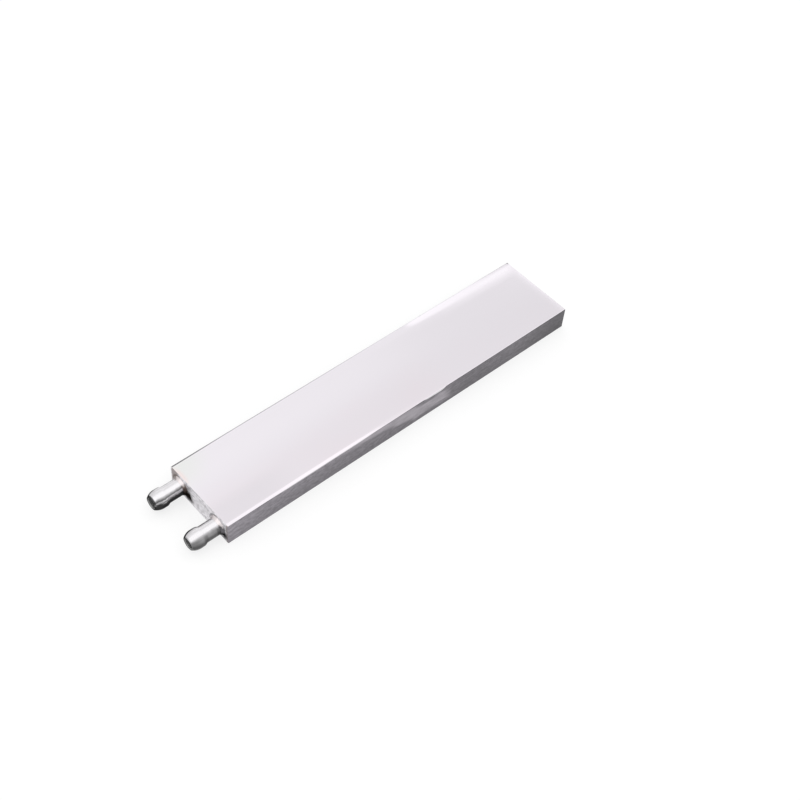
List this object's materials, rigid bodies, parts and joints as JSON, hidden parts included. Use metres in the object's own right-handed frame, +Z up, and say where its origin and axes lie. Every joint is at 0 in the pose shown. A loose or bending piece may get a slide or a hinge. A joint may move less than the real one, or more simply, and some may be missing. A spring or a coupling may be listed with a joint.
{
  "type": "liquid cooling cold plate",
  "caption": "Flat rectangular aluminium cold plate with polished faces, inner flow chambers and a pair of barbed hose nozzles side by side on one short end.",
  "frame": {"origin": "centre of the plate's bottom face", "axes": "+X along the plate away from the nozzles, +Y across it, +Z up out of the top face"},
  "size_m": [0.2151, 0.04, 0.012],
  "materials": {
    "polished_aluminium": "polished wide faces, fine drawn lines on the narrow sides",
    "ground_aluminium": "ground flat, satin",
    "weld_metal": "welded, with faint heat tint",
    "turned_aluminium": "turned, bright"
  },
  "bodies": {
    "root": {"extruded_body": "polished_aluminium", "nozzle_end_cap": "ground_aluminium", "far_end_cap": "ground_aluminium", "nozzle_end_seam": "weld_metal", "far_end_seam": "weld_metal", "inlet_nozzle": "turned_aluminium", "outlet_nozzle": "turned_aluminium", "inlet_nozzle_weld": "weld_metal", "outlet_nozzle_weld": "weld_metal"}
  },
  "joints": []
}
